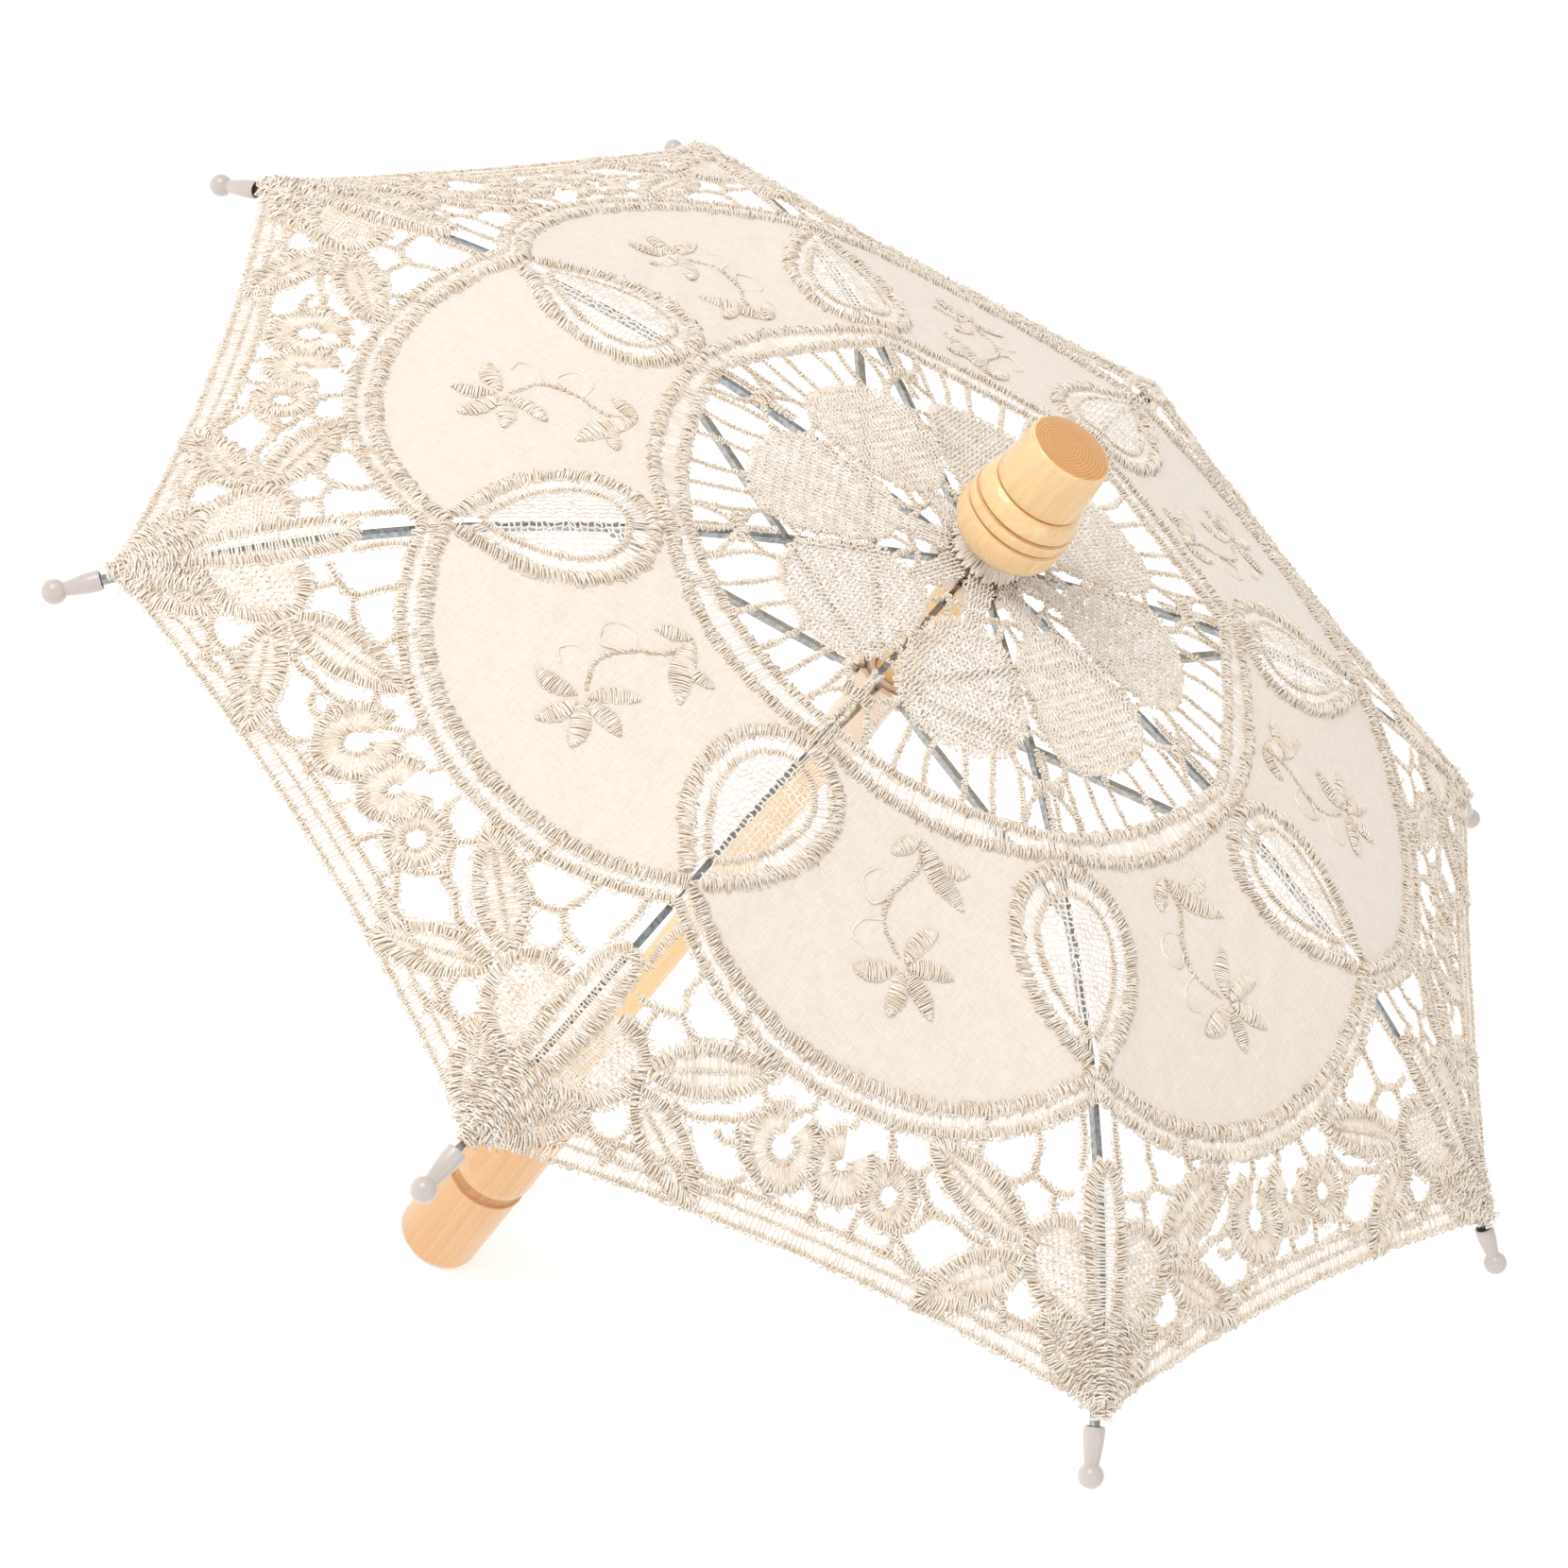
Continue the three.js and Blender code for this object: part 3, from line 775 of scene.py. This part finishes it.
def ramp(nodes, links, source, stops):
    node = nodes.new("ShaderNodeValToRGB")
    elements = node.color_ramp.elements
    while len(elements) < len(stops):
        elements.new(0.5)
    for element, (place, colour) in zip(elements, stops):
        element.position = place
        element.color = (*colour, 1)
    links.new(source, node.inputs["Fac"])
    return node


def place_of(nodes, links, scale):
    """Object coordinates, stretched by scale."""
    coordinates = nodes.new("ShaderNodeTexCoord")
    mapping = nodes.new("ShaderNodeMapping")
    mapping.inputs["Scale"].default_value = scale
    links.new(coordinates.outputs["Object"], mapping.inputs["Vector"])
    return mapping.outputs["Vector"]


def bumped(nodes, links, shader, height, strength, distance):
    bump = nodes.new("ShaderNodeBump")
    bump.inputs["Strength"].default_value = strength
    bump.inputs["Distance"].default_value = distance
    links.new(height, bump.inputs["Height"])
    links.new(bump.outputs["Normal"], shader.inputs["Normal"])


def thread_material(name, pale, deep, fibre):
    material, nodes, links, shader = new_material(name)
    patches = add_node(nodes, "ShaderNodeTexNoise", Scale=260.0, Detail=4.0)
    links.new(place_of(nodes, links, (1, 1, 1)), patches.inputs["Vector"])
    colour = ramp(nodes, links, patches.outputs["Fac"], [(0.34, deep), (0.6, pale)])
    links.new(colour.outputs["Color"], shader.inputs["Base Color"])
    fine = add_node(nodes, "ShaderNodeTexNoise", Scale=fibre, Detail=2.0)
    links.new(place_of(nodes, links, (1, 1, 1)), fine.inputs["Vector"])
    bumped(nodes, links, shader, fine.outputs["Fac"], 0.5, 0.0002)
    shader.inputs["Roughness"].default_value = 0.78
    shader.inputs["Sheen Weight"].default_value = 0.35
    shader.inputs["Sheen Roughness"].default_value = 0.4
    shader.inputs["Specular IOR Level"].default_value = 0.3
    return material


def cotton_material():
    """Plain weave: two families of uneven yarns, one along each axis."""
    material, nodes, links, shader = new_material("cotton_cloth")
    yarns = []
    for scale in ((3200, 320, 320), (320, 3200, 320)):
        yarn = add_node(nodes, "ShaderNodeTexNoise", Scale=1.0, Detail=3.0, Roughness=0.6)
        links.new(place_of(nodes, links, scale), yarn.inputs["Vector"])
        yarns.append(yarn)
    both = add_node(nodes, "ShaderNodeMath", operation="ADD")
    links.new(yarns[0].outputs["Fac"], both.inputs[0])
    links.new(yarns[1].outputs["Fac"], both.inputs[1])
    half = add_node(nodes, "ShaderNodeMath", operation="MULTIPLY")
    half.inputs[1].default_value = 0.5
    links.new(both.outputs["Value"], half.inputs[0])
    tones = [(0.36, (0.765, 0.675, 0.585)), (0.62, (0.865, 0.785, 0.70))]
    colour = ramp(nodes, links, half.outputs["Value"], tones)
    links.new(colour.outputs["Color"], shader.inputs["Base Color"])
    bumped(nodes, links, shader, half.outputs["Value"], 0.5, 0.0002)
    shader.inputs["Roughness"].default_value = 0.85
    shader.inputs["Sheen Weight"].default_value = 0.25
    shader.inputs["Sheen Roughness"].default_value = 0.5
    shader.inputs["Specular IOR Level"].default_value = 0.25
    return material


def wood_material(name, pale, deep, ring, end_pale, end_deep):
    """Varnished wood: growth rings about a tilted axis, deeper in colour on the end grain."""
    material, nodes, links, shader = new_material(name)
    coordinates = nodes.new("ShaderNodeTexCoord")
    mapping = nodes.new("ShaderNodeMapping")
    mapping.inputs["Location"].default_value = (0.001, 0.004, 0)
    mapping.inputs["Rotation"].default_value = (0.008, 0.006, 0)
    links.new(coordinates.outputs["Object"], mapping.inputs["Vector"])
    wave = add_node(nodes, "ShaderNodeTexWave", wave_type="RINGS", rings_direction="Z", wave_profile="SAW")
    wave.inputs["Scale"].default_value = ring
    wave.inputs["Distortion"].default_value = 1.0
    wave.inputs["Detail"].default_value = 2.0
    wave.inputs["Detail Scale"].default_value = 0.4
    links.new(mapping.outputs["Vector"], wave.inputs["Vector"])
    side = ramp(nodes, links, wave.outputs["Fac"], [(0.05, pale), (0.9, deep)])
    end = ramp(nodes, links, wave.outputs["Fac"], [(0.05, end_pale), (0.9, end_deep)])
    streaks = add_node(nodes, "ShaderNodeTexNoise", Scale=1.0, Detail=5.0, Roughness=0.6)
    links.new(place_of(nodes, links, (620, 620, 24)), streaks.inputs["Vector"])
    tones = [(0.35, (0.93, 0.91, 0.88)), (0.62, (1, 1, 1))]
    streak_colour = ramp(nodes, links, streaks.outputs["Fac"], tones)
    geometry = nodes.new("ShaderNodeNewGeometry")
    split = nodes.new("ShaderNodeSeparateXYZ")
    links.new(geometry.outputs["Normal"], split.inputs["Vector"])
    upright = add_node(nodes, "ShaderNodeMath", operation="ABSOLUTE")
    links.new(split.outputs["Z"], upright.inputs[0])
    facing = add_node(nodes, "ShaderNodeMapRange")
    facing.inputs["From Min"].default_value = 0.82
    facing.inputs["From Max"].default_value = 0.97
    links.new(upright.outputs["Value"], facing.inputs["Value"])
    mix = add_node(nodes, "ShaderNodeMix", data_type="RGBA")
    links.new(facing.outputs["Result"], mix.inputs[0])
    links.new(side.outputs["Color"], mix.inputs[6])
    links.new(end.outputs["Color"], mix.inputs[7])
    tint = add_node(nodes, "ShaderNodeMix", data_type="RGBA", blend_type="MULTIPLY")
    tint.inputs[0].default_value = 1.0
    links.new(mix.outputs[2], tint.inputs[6])
    links.new(streak_colour.outputs["Color"], tint.inputs[7])
    links.new(tint.outputs[2], shader.inputs["Base Color"])
    bumped(nodes, links, shader, wave.outputs["Fac"], 0.02, 0.0002)
    shader.inputs["Roughness"].default_value = 0.38
    shader.inputs["Coat Weight"].default_value = 0.6
    shader.inputs["Coat Roughness"].default_value = 0.12
    return material


def steel_material(name, colour, dark, roughness):
    material, nodes, links, shader = new_material(name)
    drawn = add_node(nodes, "ShaderNodeTexNoise", Scale=900.0, Detail=3.0)
    links.new(place_of(nodes, links, (1, 1, 1)), drawn.inputs["Vector"])
    tone = ramp(nodes, links, drawn.outputs["Fac"], [(0.3, dark), (0.7, colour)])
    links.new(tone.outputs["Color"], shader.inputs["Base Color"])
    bumped(nodes, links, shader, drawn.outputs["Fac"], 0.15, 0.0001)
    shader.inputs["Metallic"].default_value = 1.0
    shader.inputs["Roughness"].default_value = roughness
    return material


def plastic_material(name, colour, deep, roughness):
    material, nodes, links, shader = new_material(name)
    mottle = add_node(nodes, "ShaderNodeTexNoise", Scale=180.0, Detail=3.0)
    links.new(place_of(nodes, links, (1, 1, 1)), mottle.inputs["Vector"])
    tone = ramp(nodes, links, mottle.outputs["Fac"], [(0.3, deep), (0.7, colour)])
    links.new(tone.outputs["Color"], shader.inputs["Base Color"])
    bumped(nodes, links, shader, mottle.outputs["Fac"], 0.08, 0.0002)
    shader.inputs["Roughness"].default_value = roughness
    shader.inputs["Coat Weight"].default_value = 0.3
    shader.inputs["Coat Roughness"].default_value = 0.15
    return material


# ---------- the making ----------

LENS = 77.7
CAMERA_PLACE = (22.9, -606.1, 702.2)
CAMERA_TARGET = (-1.7, -32.9, 226.3)
CAMERA_ROLL = 38.7


def make_camera():
    """Looks down at the open canopy from in front, with the shaft leaning across the view."""
    data = bpy.data.cameras.new("camera")
    data.lens = LENS
    data.sensor_width = 36.0
    data.clip_start = 0.01
    data.clip_end = 200.0
    camera = bpy.data.objects.new("camera", data)
    bpy.context.scene.collection.objects.link(camera)
    place = Vector(CAMERA_PLACE) * MM
    target = Vector(CAMERA_TARGET) * MM
    aim = (target - place).to_track_quat("-Z", "Y").to_matrix().to_4x4()
    roll = Matrix.Rotation(math.radians(CAMERA_ROLL), 4, "Z")
    camera.matrix_world = Matrix.Translation(place) @ aim @ roll
    bpy.context.scene.camera = camera


def add_light(name, place, target, size, power):
    data = bpy.data.lights.new(name, "AREA")
    data.shape = "DISK"
    data.size = size
    data.energy = power
    light = bpy.data.objects.new(name, data)
    bpy.context.scene.collection.objects.link(light)
    light.location = place
    light.rotation_euler = (Vector(target) - Vector(place)).to_track_quat("-Z", "Y").to_euler()


def make_studio():
    world = bpy.data.worlds.new("studio")
    world.use_nodes = True
    nodes, links = world.node_tree.nodes, world.node_tree.links
    direction = nodes.new("ShaderNodeTexCoord")
    split = nodes.new("ShaderNodeSeparateXYZ")
    links.new(direction.outputs["Generated"], split.inputs["Vector"])
    sky = ramp(nodes, links, split.outputs["Z"], [(0.12, (1.0, 1.0, 1.0)), (0.5, (0.71, 0.705, 0.70))])
    links.new(sky.outputs["Color"], nodes["Background"].inputs["Color"])
    bpy.context.scene.world = world
    add_light("key", (-0.9, -0.5, 1.5), (0, 0, 0.2), 1.0, 12.5)
    add_light("fill", (1.1, -0.9, 0.9), (0, 0, 0.2), 1.2, 2.5)
    material, nodes, links, shader = new_material("floor_paper")
    grain = add_node(nodes, "ShaderNodeTexNoise", Scale=40.0)
    tone = ramp(nodes, links, grain.outputs["Fac"], [(0.3, (0.93, 0.93, 0.93)), (0.7, (0.95, 0.95, 0.95))])
    links.new(tone.outputs["Color"], shader.inputs["Base Color"])
    shader.inputs["Roughness"].default_value = 0.9
    shader.inputs["Emission Color"].default_value = (1, 1, 1, 1)
    shader.inputs["Emission Strength"].default_value = 0.3
    reach = 40000.0
    corners = np.array([(-1, -1, 0), (1, -1, 0), (1, 1, 0), (-1, 1, 0)]) * reach
    floor = mesh_object("floor", corners - (0, 0, 0.3), np.array([[0, 1, 2, 3]]), [material], None, False)
    bpy.context.scene.view_settings.view_transform = "Standard"


def make_wood(wood, grip_wood_painted_shade, groove_shade):
    grip = [
        (0, 0), (9.6, 0), (10.4, 0.1), (10.9, 0.35), (11.15, 0.8), (11.2, 1.3), (11.2, 30.9), (11.0, 31.1),
        (10.45, 31.5), (10.3, 31.9), (10.3, 34.3), (10.45, 34.7), (11.0, 35.1), (11.25, 35.6), (11.4, 38),
        (11.25, 41), (11.2, 45), (11.2, 60.3), (10.9, 60.6), (10.4, 61), (10.3, 61.5), (10.3, 62.8),
        (10.4, 63.2), (10.9, 63.6), (11.2, 64), (11.2, 66.5), (11.0, 68.5), (10.5, 70.5), (9.7, 72.3),
        (8.6, 73.9), (7.2, 75.2), (6.2, 75.8),
        (5.5, 76), (4.5, 76), (4.5, 62), (0, 62),
    ]
    piece = turned("turned_grip", grip, grip_wood_painted_shade, 96, groove_shade, [(31.05, 35.15), (60.5, 63.7)])
    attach(piece, "stick")
    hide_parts("grip")
    b = FINIAL_BOTTOM
    finial = [
        (0, 14), (4.5, 14), (4.5, 0), (9.2, 0), (10.4, 0.4), (11.3, 1.2), (12.0, 2.3), (12.5, 3.7),
        (12.7, 5.3), (12.6, 7.2), (12.4, 7.75), (12.0, 7.95), (11.9, 8.15), (11.9, 8.4), (12.05, 8.6),
        (12.4, 8.8), (12.5, 9.4), (12.4, 10.8), (12.2, 11.25), (11.75, 11.4), (11.6, 11.6), (11.6, 11.85),
        (11.8, 12.05), (12.15, 12.25), (12.2, 12.8), (11.9, 14.0), (11.3, 15.2), (10.6, 16.1), (10.2, 16.4),
        (10.0, 16.55), (10.05, 16.8), (10.3, 17.0), (10.45, 17.4), (10.3, 20), (9.65, 28.6), (9.6, 29.1),
        (9.45, 29.5), (9.2, 29.8), (8.8, 29.97), (6, 30.1), (3, 30.18), (0, 30.2),
    ]
    piece = turned("turned_finial", [(r, z + b) for r, z in finial], wood, 128, groove_shade,
        [(b + 7.9, b + 8.65), (b + 11.35, b + 12.1), (b + 16.35, b + 16.85)])
    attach(piece, "stick")
    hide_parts("finial")
    shaft = [(0, 62.3), (4.2, 62.3), (4.2, 120), (4.2, 180), (4.2, 240), (4.2, 303.7), (0, 303.7)]
    piece = turned("turned_shaft", shaft, wood, 64)
    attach(piece, "stick")
    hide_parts("shaft")


def make_tips(plastic):
    """Smooth ball tips, each laid along the end of its rib."""
    anchor = 184.0
    slope = math.atan(SLOPE + 3 * DROOP * anchor**2)
    ball_radius, ball_middle, neck = 2.6, 7.36, 1.45
    bearings = np.linspace(math.asin(neck / ball_radius), math.pi, 18)
    ball = [(ball_radius * math.sin(a), ball_middle - ball_radius * math.cos(a)) for a in bearings]
    profile = [
        (0, 3.2), (1.75, 3.2), (1.75, -2.2), (2.0, -2.2), (2.12, -1.9),
        (2.15, -1.2), (2.1, 0.5), (1.9, 2.2), (1.6, 4.2), (1.5, 4.9),
    ]
    profile += ball[:-1] + [(0, 9.96)]
    for k in range(RIBS):
        piece = turned(f"ball_tip_{k + 1}", profile, plastic, 40)
        tilt = Matrix.Rotation(math.pi / 2 + slope, 4, "Y")
        put = Matrix.Translation((anchor * MM, 0, (rib_height(anchor) - 2.35) * MM))
        piece.data.transform(Matrix.Rotation(k * SECTOR, 4, "Z") @ put @ tilt)
        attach(piece, f"arm_{k + 1}")
        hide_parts(f"tip_{k + 1}")


def make_collar(material):
    """Loops of thread gathered under the finial."""
    points, faces = [], []
    loops = 96
    for k in range(loops):
        middle = 2 * math.pi * k / loops + rng.normal(0, 0.02)
        reach = rng.uniform(7.6, 8.9)
        drop = rng.uniform(283.9, 285.2)
        t = np.linspace(0, 1, 11)
        out = np.sin(math.pi * t)
        r = 5.0 + (reach - 5.0) * out**0.8
        z = 288.6 - (288.6 - drop) * out**1.5
        angle = middle + (t - 0.5) * rng.uniform(0.12, 0.2)
        path = np.stack([r * np.cos(angle), r * np.sin(angle), z], axis=-1)
        add_strand(points, faces, path, 0.23)
    collar = mesh_object("gathered_collar", np.vstack(points), np.vstack(faces), [material])
    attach(collar, "stick")
    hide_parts("canopy_collar")


def add_strand(points, faces, path, radius, sides=5):
    """A round strand along points in space."""
    first = sum(len(p) for p in points)
    t = np.gradient(path, axis=0)
    t /= np.linalg.norm(t, axis=1, keepdims=True)
    a = np.cross(t, (0, 0, 1))
    a /= np.linalg.norm(a, axis=1, keepdims=True)
    b = np.cross(t, a)
    angle = np.arange(sides) * 2 * math.pi / sides
    round_it = a[:, None] * np.cos(angle)[None, :, None] + b[:, None] * np.sin(angle)[None, :, None]
    ring = path[:, None] + radius * round_it
    n = len(path)
    points.append(np.vstack([ring.reshape(-1, 3), path[:1], path[-1:]]))
    i = np.arange(n - 1)[:, None] * sides
    j = np.arange(sides)[None, :]
    k = (j + 1) % sides
    quads = np.stack([i + j, i + k, i + sides + k, i + sides + j], axis=-1).reshape(-1, 4)
    r = np.arange(sides)
    nxt = (r + 1) % sides
    start, finish = n * sides, n * sides + 1
    base = (n - 1) * sides
    caps = [np.stack([nxt, r, np.full(sides, start), np.full(sides, start)], axis=-1),
        np.stack([base + r, base + nxt, np.full(sides, finish), np.full(sides, finish)], axis=-1)]
    faces.append(np.vstack([quads, *caps]) + first)


def dress_nodes(finishes):
    """Puts a finish on each CAD node that stays in view."""
    for name, material in finishes.items():
        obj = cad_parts[name]
        obj.data.materials.clear()
        obj.data.materials.append(material)


make_camera()
make_studio()
# the strip under the cords' stitches: its deeper colour is painted shade between the stitches
shaded_core = thread_material("cord_core_painted_shade", (0.80, 0.67, 0.52), (0.68, 0.54, 0.40), 2500.0)
stitch = thread_material("stitch_thread", (0.95, 0.87, 0.77), (0.84, 0.72, 0.58), 3000.0)
pale = thread_material("pale_thread", (0.96, 0.90, 0.82), (0.88, 0.79, 0.69), 3000.0)
cotton = cotton_material()
RING_SCALE = 380.0
wood = wood_material(
    "varnished_wood", (0.91, 0.64, 0.34), (0.885, 0.60, 0.30), RING_SCALE,
    (0.80, 0.42, 0.15), (0.62, 0.27, 0.07),
)
# the grip's wood is the varnished wood made deeper: painted shade, for the grip lying in shadow
grip_wood_painted_shade = wood_material(
    "grip_wood_painted_shade", (0.80, 0.48, 0.23), (0.77, 0.44, 0.20), RING_SCALE,
    (0.74, 0.38, 0.14), (0.58, 0.26, 0.07),
)
# the grooves' darker wood is painted shade in the recesses of the turning
groove_shade = wood_material(
    "turned_groove_painted_shade", (0.62, 0.28, 0.09), (0.54, 0.23, 0.06), RING_SCALE,
    (0.55, 0.23, 0.07), (0.45, 0.18, 0.05),
)
steel = steel_material("rib_steel", (0.47, 0.48, 0.48), (0.22, 0.23, 0.23), 0.22)
dull = steel_material("stretcher_steel", (0.50, 0.50, 0.47), (0.28, 0.28, 0.26), 0.32)
cream = plastic_material("cream_plastic", (0.88, 0.70, 0.56), (0.84, 0.65, 0.51), 0.35)
grey = plastic_material("grey_plastic", (0.60, 0.54, 0.50), (0.55, 0.49, 0.45), 0.25)

make_canopy([shaded_core, stitch, pale], cotton)
make_wood(wood, grip_wood_painted_shade, groove_shade)
make_tips(grey)
make_collar(pale)
finishes = {"crown": cream, "crown_wire": steel, "runner": cream, "runner_wire": steel}
for n in range(1, RIBS + 1):
    finishes[f"rib_{n}"] = steel
    finishes[f"rivet_{n}"] = steel
    finishes[f"stretcher_{n}"] = dull
dress_nodes(finishes)
